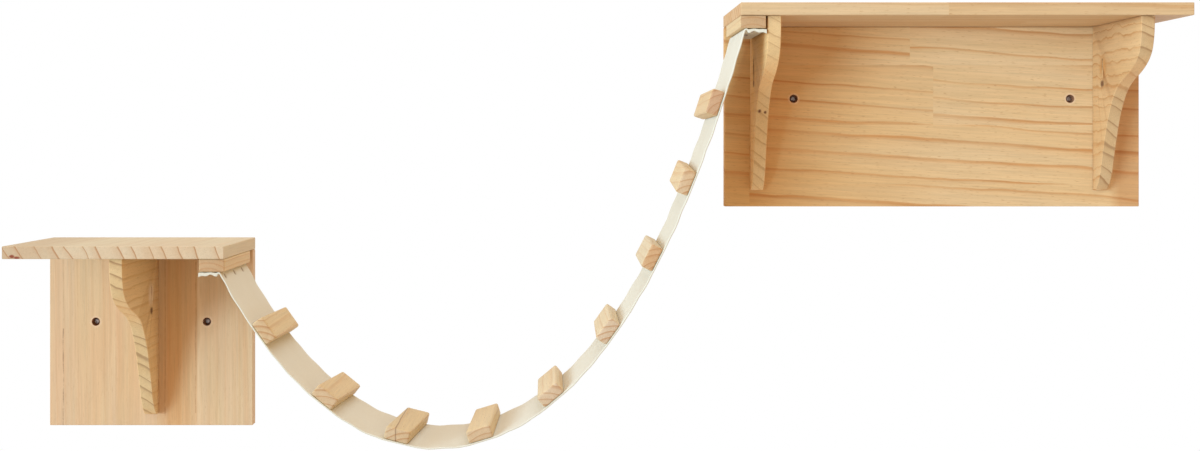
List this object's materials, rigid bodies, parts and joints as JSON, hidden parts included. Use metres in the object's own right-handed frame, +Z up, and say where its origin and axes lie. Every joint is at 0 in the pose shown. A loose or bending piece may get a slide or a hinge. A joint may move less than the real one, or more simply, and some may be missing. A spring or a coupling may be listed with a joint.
{
  "type": "cat climbing wall",
  "caption": "Pine wall shelves on S-shaped brackets, joined by a hanging canvas strap with wooden treads that a cat climbs from the low shelf to the high one.",
  "frame": {"origin": "centre of the low unit's back panel, on the face that lies against the wall", "axes": "+X along the wall from the low unit to the high one, +Y into the wall, +Z up"},
  "size_m": [1.588, 0.2307, 0.598],
  "materials": {
    "pine_board": "sanded bare pine, glued from staves",
    "pine_bracket": "sanded bare pine, sawn edges",
    "pine_batten": "sanded bare pine batten",
    "canvas": "undyed heavy cotton canvas",
    "zinc_screw": "bright zinc plate",
    "beech_dowel": "plain beech"
  },
  "bodies": {
    "wall_units": {"low_shelf": "pine_board", "low_back_panel": "pine_board", "low_bracket": "pine_bracket", "low_cleat": "pine_batten", "low_wall_screw_1": "zinc_screw", "low_wall_screw_2": "zinc_screw", "low_bracket_pocket_screw": "zinc_screw", "low_bracket_back_screw_1": "zinc_screw", "low_bracket_back_screw_2": "zinc_screw", "low_dowel_1": "beech_dowel", "low_dowel_2": "beech_dowel", "low_cleat_screw_1": "zinc_screw", "low_cleat_screw_2": "zinc_screw", "low_cleat_screw_3": "zinc_screw", "high_shelf": "pine_board", "high_back_panel": "pine_board", "high_left_bracket": "pine_bracket", "high_right_bracket": "pine_bracket", "high_cleat": "pine_batten", "high_wall_screw_1": "zinc_screw", "high_wall_screw_2": "zinc_screw", "high_left_bracket_pocket_screw": "zinc_screw", "high_left_bracket_back_screw_1": "zinc_screw", "high_left_bracket_back_screw_2": "zinc_screw", "high_right_bracket_pocket_screw": "zinc_screw", "high_right_bracket_back_screw_1": "zinc_screw", "high_right_bracket_back_screw_2": "zinc_screw", "high_dowel_1": "beech_dowel", "high_dowel_2": "beech_dowel", "high_cleat_screw_1": "zinc_screw", "high_cleat_screw_2": "zinc_screw", "high_cleat_screw_3": "zinc_screw"},
    "bridge": {"bridge_strap": "canvas", "tread_1": "pine_batten", "tread_1_screw_1": "zinc_screw", "tread_1_screw_2": "zinc_screw", "tread_2": "pine_batten", "tread_2_screw_1": "zinc_screw", "tread_2_screw_2": "zinc_screw", "tread_3": "pine_batten", "tread_3_screw_1": "zinc_screw", "tread_3_screw_2": "zinc_screw", "tread_4": "pine_batten", "tread_4_screw_1": "zinc_screw", "tread_4_screw_2": "zinc_screw", "tread_5": "pine_batten", "tread_5_screw_1": "zinc_screw", "tread_5_screw_2": "zinc_screw", "tread_6": "pine_batten", "tread_6_screw_1": "zinc_screw", "tread_6_screw_2": "zinc_screw", "tread_7": "pine_batten", "tread_7_screw_1": "zinc_screw", "tread_7_screw_2": "zinc_screw", "tread_8": "pine_batten", "tread_8_screw_1": "zinc_screw", "tread_8_screw_2": "zinc_screw", "tread_9": "pine_batten", "tread_9_screw_1": "zinc_screw", "tread_9_screw_2": "zinc_screw"}
  },
  "joints": [
    {"name": "bridge_sway", "type": "hinge", "parent": "wall_units", "child": "bridge", "pos_m": [0.1395, -0.118, 0.1095], "axis": [0.9081, 0, 0.4186], "range_deg": [-15, 5], "deforming": ["bridge_strap"]}
  ]
}
